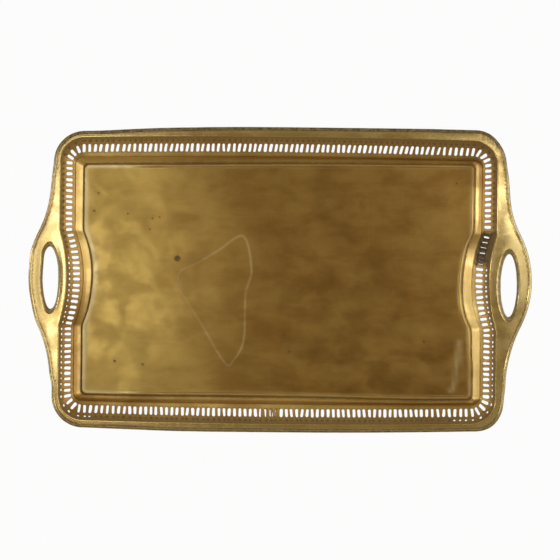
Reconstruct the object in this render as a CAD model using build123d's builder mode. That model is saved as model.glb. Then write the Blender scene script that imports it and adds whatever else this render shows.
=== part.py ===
"""Pierced gallery tray in sheet brass, with hand holes in its two ends.

Frame: the tray lies flat, its length along X and its width along Y, +Z up.
The origin is the middle of the tray, on the surface that it rests on.
All sizes are in millimetres.
"""
from build123d import *
from collections import namedtuple
from math import atan, cos, degrees, pi, radians, sin
import os

# ---- driving dimensions -------------------------------------------------
TRAY_LENGTH = 610.0          # over the two handles
TRAY_WIDTH = 370.0           # over the bowed long sides
WELL_LENGTH = 529.0          # between the tops of the gallery, end to end
WELL_WIDTH = 347.0           # between the tops of the gallery, side to side
PAN_GAUGE = 0.8              # sheet of the pan
RIM_GAUGE = 0.8              # sheet of the rim flange
STRIP_SHIFT = 0.55           # outward and downward step of the gallery sheet
BEAD_RADIUS = 2.1            # outside of the rolled edge
BORE_RADIUS = 1.3            # inside of the rolled edge
WIRE_RADIUS = 1.25           # wire that the edge is rolled round
BEAD_HEIGHT = 32.4           # middle of the rolled edge

# handles: each end of the rim swells out in one S-shaped line
HANDLE_DEPTH = 29.5
HANDLE_REACH = 128.0
HANDLE_RUN_IN = 164.0        # radius where the swelling leaves the side
RIM_CORNER = 36.0
BOW_TURN = 1.7               # degrees by which a long side turns towards a corner
BOW_BEND = 1200.0            # radius of the two slight bends that it turns in
BOW_MIDDLE = 60.0            # straight run from the middle to the first bend
BOW_RUN = 80.0               # straight run between the bends

# well: each end is pushed in behind the hand hole
PUSH_REACH = 62.0
PUSH_RUN_IN = 15.0

# hand holes
HOLE_WIDTH = 20.4
HOLE_LENGTH = 76.0
HOLE_X = 277.8               # from the middle of the tray to a hole's middle
HOLE_ROLL = 2.6              # width of the edge that is turned down
LIP_TOP = 29.6               # where the turned edge becomes upright
LIP_FOOT = 27.6              # lower edge of the turned-down lip

# piercing of the gallery
SLOT_PITCH = 6.33
SLOT_WIDTH = 3.8
SLOT_RUN_ENDS = 8.8          # slot length seen from above, on the short sides
SLOT_RUN_SIDES = 11.1        # and on the long sides
DOT_WIDTH = 2.0
EDGE_TO_FIRST_SLOT = 4.0
LAP_SLOT_OFFSET = 2.0        # keeps the two lapped rows of slots out of step

# the gallery is two lengths of pierced strip, lapped where they meet
JOINT_X = 3.0                # end of the long strip in the front side
JOINT_Y = 20.0               # end of the long strip in the right side
LAP_FRONT = 22.0
LAP_RIGHT = 46.0
JOINT_GAP = 0.3
JOGGLE = 1.6                 # length over which a strip steps behind the other
WIRE_GAP = 0.4

# flat stretches of the gallery's walls, measured from the tray's middle lines
SIDE_FLAT = 234.0
END_FLAT_START = PUSH_REACH
END_FLAT_END = 138.0

# ---- levels of the tray's inside ----------------------------------------
# in_x, in_y: distance in from the gallery's top line, at the ends and sides
# corner: corner radius; push: how far the ends are pushed in; height above rest
Level = namedtuple("Level", "in_x in_y corner push height")

HEM_EDGE = Level(-3.2, -3.2, 32.2, 8.4, BEAD_HEIGHT)
GALLERY_TOP = Level(0.0, 0.0, 29.0, 8.6, 30.5)
DOT_LINE = Level(3.2, 4.0, 25.0, 9.0, 25.6)
SLOT_TOP = Level(5.8, 7.1, 22.0, 9.3, 21.0)
SLOT_FOOT = Level(14.6, 18.2, 13.5, 10.4, 11.0)
PAN_EDGE = Level(17.8, 23.5, 9.5, 10.9, 7.4)
LAP_FOOT = Level(22.2, 27.0, 8.0, 11.4, 4.2)
GROOVE_OUT = Level(26.8, 30.8, 6.0, 12.1, 0.8)
GROOVE_IN = Level(28.2, 32.2, 5.5, 12.2, 0.8)
FLOOR_EDGE = Level(30.4, 35.2, 4.5, 12.4, 2.0)


def bow_end_run(half_x, corner, bend_radius):
    """Length of the straight run between a bowed side's last bend and a corner."""
    turn = radians(BOW_TURN)
    bends_x = (bend_radius - corner) * sin(turn)
    return (half_x - corner - BOW_MIDDLE - BOW_RUN * cos(turn / 2) - bends_x) / cos(turn)


def bow_rise(half_x, corner, bend_radius):
    """How far a bowed side stands out at its middle over its two ends."""
    turn = radians(BOW_TURN)
    end_run = bow_end_run(half_x, corner, bend_radius)
    return end_run * sin(turn) + BOW_RUN * sin(turn / 2) + bend_radius * (1 - cos(turn))


def bowed_side(step, end_run, bend_radius):
    """Long side that bows out: straight runs joined by four gentle bends."""
    for run in (end_run, BOW_RUN, 2 * BOW_MIDDLE, BOW_RUN):
        step = Line(step @ 1, step @ 1 + (step % 1) * run)
        step = JernArc(step @ 1, step % 1, bend_radius, BOW_TURN / 2)
    return Line(step @ 1, step @ 1 + (step % 1) * end_run)


def outline(half_x, half_y, corner, swell, reach, run_in, bend_radius=None):
    """Closed outline of the tray: two long sides, two ends with a swelling.

    swell is how far the middle of an end stands out, or in if it is negative.
    Each swelling is one arc between two smaller run-in arcs, all tangent.
    The long sides are bowed where bend_radius is given, and straight otherwise.
    """
    turn = 2 * degrees(atan(abs(swell) / reach))
    arc_radius = reach / sin(radians(turn)) - run_in
    lean = 1 if swell > 0 else -1
    side_turn = 0.0
    corner_y = half_y - corner
    if bend_radius is not None:
        side_turn = BOW_TURN
        end_run = bow_end_run(half_x, corner, bend_radius)
        rise = bow_rise(half_x, corner, bend_radius)
        corner_y = half_y - rise - corner * cos(radians(side_turn))
    with BuildLine() as path:
        step = Line((half_x, -reach - 1), (half_x, -reach), mode=Mode.PRIVATE)
        for _ in range(2):
            step = JernArc(step @ 1, step % 1, run_in, -lean * turn)
            step = JernArc(step @ 1, step % 1, arc_radius, 2 * lean * turn)
            step = JernArc(step @ 1, step % 1, run_in, -lean * turn)
            step = Line(step @ 1, step @ 1 + (step % 1) * (corner_y - reach))
            step = JernArc(step @ 1, step % 1, corner, 90 - side_turn)
            if bend_radius is None:
                step = Line(step @ 1, step @ 1 + (step % 1) * 2 * (half_x - corner))
            else:
                step = bowed_side(step, end_run, bend_radius)
            step = JernArc(step @ 1, step % 1, corner, 90 - side_turn)
            step = Line(step @ 1, step @ 1 + (step % 1) * (corner_y - reach))
    return path


def well_outline(level, out=0.0):
    """Outline of the tray's inside at one level, moved outward by out."""
    return outline(
        WELL_LENGTH / 2 - level.in_x + out,
        WELL_WIDTH / 2 - level.in_y + out,
        level.corner + out,
        -level.push,
        PUSH_REACH,
        PUSH_RUN_IN,
    )


def rim_outline(inset):
    """Outline of the rim, moved in from the tray's outermost line by inset."""
    return outline(
        TRAY_LENGTH / 2 - HANDLE_DEPTH - inset,
        TRAY_WIDTH / 2 - inset,
        RIM_CORNER + BEAD_RADIUS - inset,
        HANDLE_DEPTH,
        HANDLE_REACH,
        HANDLE_RUN_IN + inset,
        BOW_BEND - inset,
    )


def layer(path, height):
    """Flat face inside a closed outline, laid at one height."""
    with BuildSketch(Plane.XY.offset(height)) as face:
        make_face(path.edges())
    return face.sketch


def well_layers(levels, drop=0.0, out=0.0):
    """Faces of the tray's inside at the given levels, lowest first."""
    return [layer(well_outline(level, out), level.height - drop) for level in levels]


def open_sheet(lower_skin, upper_skin, edge_height):
    """Ring of sheet between two stacks of layers, open above and below.

    The sheet's outer edge is cut upright and ends at edge_height.
    """
    loft(lower_skin, ruled=True)
    extrude(lower_skin[-1], amount=edge_height, dir=(0, 0, 1))
    loft(upper_skin, ruled=True, mode=Mode.SUBTRACT)
    extrude(upper_skin[-1], amount=edge_height, dir=(0, 0, 1), mode=Mode.SUBTRACT)
    extrude(upper_skin[0], amount=edge_height, dir=(0, 0, -1), mode=Mode.SUBTRACT)


def blend(ends_value, sides_value, tangent):
    """Value for a stretch along tangent, between that of the ends and sides."""
    return ends_value + (sides_value - ends_value) * abs(tangent.X)


def pierce(start, end):
    """Cut a slot and a dot above it at each pitch, from start to end.

    start and end are distances round the tray, anticlockwise from above.
    """
    slot_line = well_outline(SLOT_MIDDLE).wire()
    count = int((end - start - 2 * EDGE_TO_FIRST_SLOT) / SLOT_PITCH) + 1
    slots_by_run = {}
    dots = []
    for index in range(count):
        share = (start + EDGE_TO_FIRST_SLOT + index * SLOT_PITCH) / slot_line.length % 1
        middle = slot_line @ share
        along = slot_line % share
        outward = Vector(along.Y, -along.X)
        angle = slot_line.tangent_angle_at(share) + 90
        run = round(blend(SLOT_RUN_ENDS, SLOT_RUN_SIDES, along), 1)
        slots_by_run.setdefault(run, []).append(Location(middle, (0, 0, angle)))
        to_dot = blend(
            SLOT_MIDDLE.in_x - DOT_LINE.in_x, SLOT_MIDDLE.in_y - DOT_LINE.in_y, along
        )
        dots.append(middle + outward * to_dot)
    with BuildSketch() as holes:
        for run, places in slots_by_run.items():
            with Locations(*places):
                SlotOverall(run, SLOT_WIDTH)
        with Locations(*dots):
            Circle(DOT_WIDTH / 2)
    extrude(holes.sketch, amount=BEAD_HEIGHT + BEAD_RADIUS, mode=Mode.SUBTRACT)


def front_right_block(margin_x, margin_y, mode):
    """Block over the front right quarter of the tray, grown by the margins."""
    corner_x = JOINT_X - margin_x
    corner_y = JOINT_Y + margin_y
    with Locations((corner_x, corner_y, 0)):
        Box(
            TRAY_LENGTH,
            TRAY_WIDTH,
            2 * (BEAD_HEIGHT + BEAD_RADIUS),
            align=(Align.MIN, Align.MAX, Align.CENTER),
            mode=mode,
        )


def strip_section(half_size, insets, shift):
    """Corner points of the gallery sheet's section across a straight stretch.

    insets are the distances in from the gallery's top line, one per level.
    """
    drop = PAN_GAUGE + shift
    inner = [
        (half_size - inset + shift, level.height - drop)
        for inset, level in zip(insets, STRIP_LEVELS)
    ]
    outer = [(across + STRIP_SHIFT, height - STRIP_SHIFT) for across, height in inner]
    hem_corner = (outer[-1][0], inner[-1][1])
    foot_corner = (inner[0][0], outer[0][1])
    return inner + [hem_corner] + outer[::-1] + [foot_corner]


def flat_walls(shift):
    """The flat stretches of the gallery: two long sides and four short ones."""
    side_points = strip_section(WELL_WIDTH / 2, [at.in_y for at in STRIP_LEVELS], shift)
    end_points = strip_section(WELL_LENGTH / 2, [at.in_x for at in STRIP_LEVELS], shift)
    with BuildPart() as walls:
        with BuildSketch(Plane.YZ):
            Polygon(*side_points, align=None)
        extrude(amount=SIDE_FLAT, both=True)
        with BuildSketch(Plane.XZ.offset(END_FLAT_START)):
            Polygon(*end_points, align=None)
        extrude(amount=END_FLAT_END - END_FLAT_START)
        mirror(about=Plane.XZ)
        mirror(about=Plane.YZ)
    return walls.part


def gallery_sheet(shift):
    """Whole ring of gallery sheet, unpierced, set outward and down by shift."""
    drop = PAN_GAUGE + shift
    open_sheet(
        well_layers(STRIP_LEVELS, drop + STRIP_SHIFT, shift + STRIP_SHIFT),
        well_layers(STRIP_LEVELS, drop, shift),
        STRIP_SHIFT,
    )
    full_height = 2 * BEAD_HEIGHT
    Box(2 * SIDE_FLAT, TRAY_WIDTH, full_height, mode=Mode.SUBTRACT)
    flat_length = END_FLAT_END - END_FLAT_START
    flat_middle = (END_FLAT_END + END_FLAT_START) / 2
    with Locations((0, flat_middle, 0), (0, -flat_middle, 0)):
        Box(TRAY_LENGTH, flat_length, full_height, mode=Mode.SUBTRACT)
    add(flat_walls(shift))


def rim_sweep(radius):
    """Closed ring of round section that follows the edge of the rim."""
    path = rim_outline(BEAD_RADIUS).wire().moved(Location((0, 0, BEAD_HEIGHT)))
    with BuildSketch(Plane(origin=path @ 0, z_dir=path % 0)) as section:
        Circle(radius)
    return sweep(section.sketch, path, mode=Mode.PRIVATE)


def hole_layer(grow, height):
    """The two hand holes' outlines, widened all round by grow, at one height."""
    with BuildSketch(Plane.XY.offset(height)) as holes:
        with Locations((-HOLE_X, 0), (HOLE_X, 0)):
            Ellipse(HOLE_WIDTH / 2 + grow, HOLE_LENGTH / 2 + grow)
    return holes.sketch


def hole_funnel(grow, drop, mode):
    """Turned-down edge of both hand holes as solid plugs, grown by grow."""
    top = BEAD_HEIGHT - drop
    wide = hole_layer(grow + HOLE_ROLL, top)
    neck = hole_layer(grow, LIP_TOP - drop)
    for wide_face, neck_face in zip(wide.faces(), neck.faces()):
        loft([neck_face, wide_face], ruled=True, mode=mode)
    extrude(neck, amount=LIP_TOP - drop - LIP_FOOT, dir=(0, 0, -1), mode=mode)


def half_way(one, other):
    """Level half way between two others."""
    return Level(*((a + b) / 2 for a, b in zip(one, other)))


SLOT_MIDDLE = half_way(SLOT_TOP, SLOT_FOOT)
BAND_LEVELS = (GROOVE_OUT, LAP_FOOT, PAN_EDGE)
STRIP_LEVELS = (LAP_FOOT, PAN_EDGE, SLOT_FOOT, SLOT_TOP, GALLERY_TOP, HEM_EDGE)

os.makedirs("parts", exist_ok=True)

# ---- pan: floor, step down to a groove, and the band that slopes up -------
with BuildPart() as base_pan:
    open_sheet(well_layers(BAND_LEVELS, PAN_GAUGE), well_layers(BAND_LEVELS), PAN_GAUGE)
    extrude(layer(well_outline(GROOVE_OUT), 0), amount=GROOVE_OUT.height)
    loft(well_layers((GROOVE_IN, FLOOR_EDGE)), ruled=True)
    loft(well_layers((GROOVE_IN, FLOOR_EDGE), PAN_GAUGE), ruled=True, mode=Mode.SUBTRACT)
base_pan.part.label = "base_pan"
export_step(base_pan.part, "parts/base_pan.step")

# ---- gallery: two lengths of pierced strip, lapped at both joints ---------
round_well = well_outline(SLOT_MIDDLE).wire().length
half_x = WELL_LENGTH / 2 - SLOT_MIDDLE.in_x
half_y = WELL_WIDTH / 2 - SLOT_MIDDLE.in_y
round_corner = SLOT_MIDDLE.corner * pi / 2
right_joint = PUSH_REACH + JOINT_Y
front_joint = round_well - (
    half_x - SLOT_MIDDLE.corner - JOINT_X
    + round_corner
    + half_y - SLOT_MIDDLE.corner - PUSH_REACH
)

with BuildPart() as gallery_strip_long:
    gallery_sheet(0)
    front_right_block(0, 0, Mode.SUBTRACT)
    pierce(right_joint, front_joint)
gallery_strip_long.part.label = "gallery_strip_long"
export_step(gallery_strip_long.part, "parts/gallery_strip_long.step")

with BuildPart() as strip_laps:
    gallery_sheet(STRIP_SHIFT)
    front_right_block(LAP_FRONT, LAP_RIGHT, Mode.INTERSECT)
    front_right_block(-JOGGLE, -JOGGLE, Mode.SUBTRACT)

with BuildPart() as gallery_strip_short:
    gallery_sheet(0)
    front_right_block(-JOINT_GAP, -JOINT_GAP, Mode.INTERSECT)
    add(strip_laps.part)
    pierce(front_joint - LAP_FRONT + LAP_SLOT_OFFSET, round_well + right_joint + LAP_RIGHT)
gallery_strip_short.part.label = "gallery_strip_short"
export_step(gallery_strip_short.part, "parts/gallery_strip_short.step")

# ---- rim: flange with the hand holes, its edge rolled round a wire --------
with BuildPart() as rim_flange:
    hem_levels = (GALLERY_TOP, HEM_EDGE)
    open_sheet(well_layers(hem_levels, RIM_GAUGE), well_layers(hem_levels), RIM_GAUGE)
    with BuildSketch(Plane.XY.offset(BEAD_HEIGHT - RIM_GAUGE)) as flat_ring:
        make_face(rim_outline(BEAD_RADIUS).edges())
        make_face(well_outline(HEM_EDGE).edges(), mode=Mode.SUBTRACT)
    extrude(flat_ring.sketch, amount=RIM_GAUGE)
    hole_funnel(RIM_GAUGE, RIM_GAUGE, Mode.ADD)
    hole_funnel(0, 0, Mode.SUBTRACT)
    add(rim_sweep(BEAD_RADIUS))
    add(rim_sweep(BORE_RADIUS), mode=Mode.SUBTRACT)
rim_flange.part.label = "rim_flange"
export_step(rim_flange.part, "parts/rim_flange.step")

with BuildPart() as rim_wire:
    add(rim_sweep(WIRE_RADIUS))
    with Locations((0, -TRAY_WIDTH / 2, BEAD_HEIGHT)):
        Box(WIRE_GAP, 6 * WIRE_RADIUS, 4 * WIRE_RADIUS, mode=Mode.SUBTRACT)
rim_wire.part.label = "rim_wire"
export_step(rim_wire.part, "parts/rim_wire.step")
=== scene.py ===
"""A pierced gallery tray in old sheet brass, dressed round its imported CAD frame.

X runs along the tray, Y across it and Z up. The tray's sizes are millimetres, and
the mesh makers turn them into metres, which is what Blender and the frame use.
Table, lamps and camera are placed in metres.
"""
import math
import random
from collections import namedtuple

import bpy
import numpy as np
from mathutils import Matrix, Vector, geometry, kdtree, noise


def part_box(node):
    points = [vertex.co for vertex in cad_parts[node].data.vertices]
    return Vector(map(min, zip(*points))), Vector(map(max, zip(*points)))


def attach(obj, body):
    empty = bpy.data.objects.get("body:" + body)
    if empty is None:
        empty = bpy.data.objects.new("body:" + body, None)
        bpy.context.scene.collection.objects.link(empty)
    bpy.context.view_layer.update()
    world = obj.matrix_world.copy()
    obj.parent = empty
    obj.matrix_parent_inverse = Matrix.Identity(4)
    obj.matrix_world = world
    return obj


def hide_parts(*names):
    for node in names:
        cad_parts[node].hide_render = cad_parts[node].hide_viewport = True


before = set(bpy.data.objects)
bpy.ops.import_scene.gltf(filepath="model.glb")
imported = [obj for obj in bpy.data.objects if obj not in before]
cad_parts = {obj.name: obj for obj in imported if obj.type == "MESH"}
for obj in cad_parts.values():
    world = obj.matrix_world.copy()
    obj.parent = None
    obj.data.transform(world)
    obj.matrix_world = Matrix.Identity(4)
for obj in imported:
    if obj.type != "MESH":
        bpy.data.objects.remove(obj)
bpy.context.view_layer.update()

MM = 0.001

# ---- sizes taken from the frame -------------------------------------------
rim_low, rim_high = (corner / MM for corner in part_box("rim_flange"))
pan_low, pan_high = (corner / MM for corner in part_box("base_pan"))
wire_low, wire_high = (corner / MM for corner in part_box("rim_wire"))
TRAY_LENGTH = rim_high.x - rim_low.x
TRAY_WIDTH = rim_high.y - rim_low.y
BEAD_HEIGHT = (wire_high.z + wire_low.z) / 2
BEAD_RADIUS = rim_high.z - BEAD_HEIGHT

# ---- sheet and rolled edge ------------------------------------------------
PAN_GAUGE = 0.8
RIM_GAUGE = 0.8
STRIP_GAUGE = 0.55
BORE_RADIUS = 1.3
WIRE_RADIUS = 1.25
WIRE_GAP = 0.4
KEEP_IN = 0.05               # keeps the skin inside the frame's box

# ---- rim ------------------------------------------------------------------
HANDLE_DEPTH = 29.5          # how far a handle swells out
HANDLE_REACH = 128.0         # half the length of the swelling
HANDLE_RUN_IN = 164.0        # radius of the hollow curves that lead into it
RIM_CORNER = 36.0
RIM_SIDE_RADIUS = 8000.0     # the long sides are all but straight
HOLE_X = 277.8
HOLE_WIDTH = 20.4
HOLE_LENGTH = 76.0
HOLE_SAG = 4.0               # the right hand hole sits this far to the front
HOLE_TRIM = 2.2              # and it is this much narrower
HOLE_ROLL = 4.9              # width of the edge that turns down
ROLL_AT_SIDES = 0.85         # of that width at the hole's long sides
ROLL_AT_ENDS = 1.35          # and at its two ends
LIP_DEPTH = 4.6
FLANGE_HEIGHT = BEAD_HEIGHT - 0.3
FLANGE_CROWN = 0.28
FLANGE_SPACING = 2.2         # between the loose points of the flange's mesh

# ---- levels of the well, from the rolled hem down to the floor ------------
# A level is an outline at one height: how far it lies inside the gallery's top edge
# lengthwise and crosswise, its corner radius, and how far its ends are pushed in.
PUSH_REACH = 62.0
PUSH_RUN_IN = 15.0
Level = namedtuple("Level", "in_x in_y corner push height")
HEM_EDGE = Level(-3.2, -3.2, 32.2, 8.4, BEAD_HEIGHT)
GALLERY_TOP = Level(0.0, 0.0, 29.0, 8.6, 30.5)
SLOT_TOP = Level(5.8, 7.1, 22.0, 9.3, 21.0)
SLOT_FOOT = Level(14.6, 18.2, 13.5, 10.4, 11.0)
PAN_EDGE = Level(17.8, 23.5, 9.5, 10.9, 7.4)
LAP_FOOT = Level(22.2, 27.0, 8.0, 11.4, 4.2)
GROOVE_OUT = Level(26.8, 30.8, 6.0, 12.1, 0.8)
GROOVE_IN = Level(28.2, 32.2, 5.5, 12.2, 0.8)
FLOOR_EDGE = Level(29.3, 33.5, 5.2, 12.3, 2.0)
WELL_LENGTH = pan_high.x - pan_low.x + 2 * PAN_EDGE.in_x
WELL_WIDTH = pan_high.y - pan_low.y + 2 * PAN_EDGE.in_y

# ---- piercing ---------------------------------------------------------------
SLOT_PITCH = 6.33
END_PITCH = 6.9              # the slots stand wider apart round the ends
END_START, END_FULL = 172, 190       # where along X that widening begins and is full
SIDE_DEPTH = 30.0            # slots this close to the well's side belong to it
SIDE_SWAY, END_SWAY = 0.05, 0.03     # how unevenly the slots lean, in radians
BACK_LEAN = 0.12             # the back side's slots all lean to one side
SLOT_WIDTH_ENDS = 3.7
SLOT_WIDTH_SIDES = 3.5
SLOT_SQUARING = 0.75         # how far the slots keep square to the sides near a corner
SLOT_SHARE = 0.92            # part of the run between the slot levels that is cut
SLOT_ROUNDING = 1.3          # depth of a slot's round ends, in half widths
SLOT_CLEARANCE = 0.45        # metal left between a slot and the middle of its web
DOT_WIDTH = 2.2
OPEN_DOT_WIDTH = 3.0
CUT_DIP = 0.12               # the sheet sinks a little at a cut edge
CLOSED_DOT_DIP = 0.4               # and more in a dot that is closed over
JOINT_X = 3.0                # the strips' joint in the front side
JOINT_Y = 20.0               # and the one at the right end
JOINT_GAP = 0.3
LAP_FRONT = 22.0             # how far the short strip runs on behind the long one
LAP_RIGHT = 46.0
LAP_SLOT_OFFSET = 2.0        # the two layers' slots don't meet
LAP_END = 2.6                # least distance from a slot to a lap's end

# ---- seeds of the uneven hand work --------------------------------------------
CUTTING_SEED = 11
FLOOR_SEED = 1.0
HAMMER_SEED = 2.0
WELL_SEED = 3.0
BEAD_SEED = 6.0
LIP_SEEDS = {-1: 4.0, 1: 9.0}

# ---- fineness of the meshes ---------------------------------------------------
WELL_COLUMNS = 1200
RIM_COLUMNS = 1500
HOLE_COLUMNS = 150
WIRE_COLUMNS = 1400
WIRE_SIDES = 14
WELD = 0.002                 # points closer than this are one
CREASE = 38.0                # degrees from which a bend is shaded as an edge


class Outline:
    """Closed line round the tray, of arcs and straight runs, anticlockwise.

    It starts at the right end, just before the end swells out or is pushed in. A
    station is a place on it: its whole part counts runs, the rest is the share of
    that run.
    """

    def __init__(self, half_x, half_y, corner, swell, reach, run_in, side_radius=None):
        turn = 2 * math.atan(abs(swell) / reach)
        arc = reach / math.sin(turn) - run_in
        lean = 1 if swell > 0 else -1
        side_turn = 0.0
        corner_y = half_y - corner
        side = 2 * (half_x - corner)
        if side_radius is not None:
            side_turn = math.asin((half_x - corner) / (side_radius - corner))
            corner_y = half_y - side_radius + (side_radius - corner) * math.cos(side_turn)
            side = 2 * side_radius * side_turn
        quarter = math.pi / 2 - side_turn
        half = [
            (run_in * turn, -lean * turn),
            (2 * arc * turn, 2 * lean * turn),
            (run_in * turn, -lean * turn),
            (corner_y - reach, 0.0),
            (corner * quarter, quarter),
            (side, 2 * side_turn),
            (corner * quarter, quarter),
            (corner_y - reach, 0.0),
        ]
        self.lengths, self.turns = (np.array(column) for column in zip(*half + half))
        self.reached = np.concatenate([[0.0], np.cumsum(self.lengths)])
        self.length = self.reached[-1]
        self.headings = math.pi / 2 + np.concatenate([[0.0], np.cumsum(self.turns)[:-1]])
        starts = [np.array([half_x, -reach])]
        for run in range(len(self.lengths) - 1):
            starts.append(starts[-1] + self.step(run, 1.0))
        self.starts = np.array(starts)

    def step(self, run, share):
        """Move along a run, from its start to a share of its length."""
        turn, heading = self.turns[run], self.headings[run]
        length = self.lengths[run] * share
        swept = turn * share
        safe = np.where(np.abs(turn) > 1e-9, turn, 1.0)
        radius = self.lengths[run] / safe
        arc = np.stack([
            radius * (np.sin(heading + swept) - np.sin(heading)),
            radius * (np.cos(heading) - np.cos(heading + swept)),
        ], axis=-1)
        straight = np.stack([length * np.cos(heading), length * np.sin(heading)], axis=-1)
        return np.where(np.abs(turn)[..., None] > 1e-9, arc, straight)

    def at(self, stations):
        """Points and headings at an array of stations."""
        run = np.floor(stations).astype(int) % len(self.lengths)
        share = stations - np.floor(stations)
        heading = self.headings[run] + self.turns[run] * share
        return self.starts[run] + self.step(run, share), heading

    def stations(self, distances):
        """Stations at distances along the line."""
        distances = np.asarray(distances) % self.length
        run = np.searchsorted(self.reached, distances, side="right") - 1
        run = np.clip(run, 0, len(self.lengths) - 1)
        return run + (distances - self.reached[run]) / self.lengths[run]


def well_outline(level, out=0.0):
    """Outline of the tray's inside at one level, moved outward by out."""
    in_x, in_y, corner, push, _ = level
    return Outline(
        WELL_LENGTH / 2 - in_x + out,
        WELL_WIDTH / 2 - in_y + out,
        corner + out,
        -push,
        PUSH_REACH,
        PUSH_RUN_IN,
    )


def rim_outline(inset):
    """Outline of the rim, moved in from the tray's outermost line by inset."""
    return Outline(
        TRAY_LENGTH / 2 - HANDLE_DEPTH - inset,
        TRAY_WIDTH / 2 - inset,
        RIM_CORNER + BEAD_RADIUS - inset,
        HANDLE_DEPTH,
        HANDLE_REACH,
        HANDLE_RUN_IN + inset,
        RIM_SIDE_RADIUS - inset,
    )


def half_way(one, other):
    """Level half way between two others."""
    return Level(*((a + b) / 2 for a, b in zip(one, other)))


SLOT_LINE = well_outline(half_way(SLOT_TOP, SLOT_FOOT))


def section(levels, ks, softness):
    """Levels at places ks along a stack of levels, its bends rounded by softness.

    k counts levels. softness gives, for each level, how much of the run on either
    side of it is taken up by the bend.
    """
    stack = np.array(levels, float)
    count = len(stack) - 1
    ks = np.clip(np.asarray(ks, float), 0, count)

    def straight(places):
        foot = np.clip(np.floor(places).astype(int), 0, count - 1)
        share = (places - foot)[..., None]
        return stack[foot] * (1 - share) + stack[foot + 1] * share

    found = straight(ks)
    for index in range(1, count):
        reach = softness[index]
        if reach <= 0:
            continue
        share = ((ks - index + reach) / (2 * reach))[..., None]
        bend = (
            (1 - share) ** 2 * straight(np.array(index - reach))
            + 2 * share * (1 - share) * stack[index]
            + share ** 2 * straight(np.array(index + reach))
        )
        found = np.where(np.abs(ks - index)[..., None] < reach, bend, found)
    return found


def waver(xy, scale, seed, amount):
    """Slow hand-made unevenness at an array of points."""
    flat = np.asarray(xy, float).reshape(-1, 2)
    values = [noise.noise(Vector((x / scale, y / scale, seed))) for x, y in flat]
    return amount * np.array(values).reshape(np.shape(xy)[:-1])


class Skin:
    """Surface round the well: distance along the slot line by place k on a section."""

    SAMPLES = 3200

    def __init__(self, levels, softness, ks, shift=0.0, drop=0.0):
        self.ks = np.asarray(ks, float)
        self.distances = np.linspace(0, SLOT_LINE.length, self.SAMPLES, endpoint=False)
        stations = SLOT_LINE.stations(self.distances)
        rows = []
        for level in section(levels, self.ks, softness):
            xy, _ = well_outline(level, shift).at(stations)
            height = np.full(len(xy), level[4] - drop - shift)
            rows.append(np.column_stack([xy, height]))
        self.points = np.array(rows)
        self.points[:, :, 2] += waver(self.points[len(rows) // 2, :, :2], 60.0, WELL_SEED, 0.25)
        self.normals = grid_normals(self.points, self.ks)

    def at(self, distances, ks):
        """Points and normals at arrays of distances and places."""
        row = np.interp(ks, self.ks, np.arange(len(self.ks)))
        column = np.asarray(distances) / SLOT_LINE.length * self.SAMPLES
        r0 = np.clip(np.floor(row).astype(int), 0, len(self.ks) - 2)
        c0 = np.floor(column).astype(int)
        fr, fc = (row - r0)[..., None], (column - c0)[..., None]
        found = []
        before, after = c0 % self.SAMPLES, (c0 + 1) % self.SAMPLES
        for table in (self.points, self.normals):
            lower = table[r0, before] * (1 - fc) + table[r0, after] * fc
            upper = table[r0 + 1, before] * (1 - fc) + table[r0 + 1, after] * fc
            found.append(lower * (1 - fr) + upper * fr)
        return found[0], found[1] / np.linalg.norm(found[1], axis=-1, keepdims=True)


# ---- unevenness of a tray made by hand --------------------------------------
WELL_OFFSET_X = -2.9         # the well sits a little to the left in the rim
WELL_OFFSET_Y = -0.9         # and its gallery a little to the front
WELL_BOW = 2.1               # the gallery's long sides bend in towards the corners
RIM_SKEW = 0.0095            # slope of the rim's back side against the well
CORNER_DROOP = 1.3           # how far the left back corner has sunk in
LEFT_SWELL = 2.7             # the left handle's front shoulder is full
RIGHT_HOLLOWS = (            # the right handle's shoulders are lean: size, middle, width
    (1.08, 66, 30),
    (0.72, -55, 25),
    (1.26, -118, 42),
)
RIGHT_TUCK = 2.6             # the right corners are rounder than the left ones
FLOOR_FLARE = 0.0105         # slope of the floor's back edge against the gallery


def ramp(values, low, high):
    """Smooth step from 0 at low to 1 at high."""
    share = np.clip((values - low) / (high - low), 0, 1)
    return share * share * (3 - 2 * share)


def hump(values, middle, width):
    """Smooth hump of height 1."""
    return np.exp(-((values - middle) / width) ** 2)


def floor_shift(x, y):
    """Shift of the floor's edge and groove against the gallery, side by side.

    Each term is a distance, times where along its side it grows or stands out.
    """
    left = 1.3 + 0.8 * ramp(-y, -30, 30) + 0.7 * hump(y, -10, 40)
    right = (
        2.4 * ramp(y, 40, 75) + 0.6 * hump(y, 15, 25)
        - 1.6 * hump(y, -38, 26) + 1.2 * ramp(-y, 85, 110)
    )
    back = FLOOR_FLARE * np.clip(x + 130, 0, None)
    front = 1.9 + 1.2 * ramp(-x, 60, 200) + 3.2 * ramp(x, 0, 200)
    return (
        right * ramp(x, 150, 190) - left * ramp(-x, 150, 190),
        back * ramp(y, 110, 128) - front * ramp(-y, 110, 128),
    )


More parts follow.
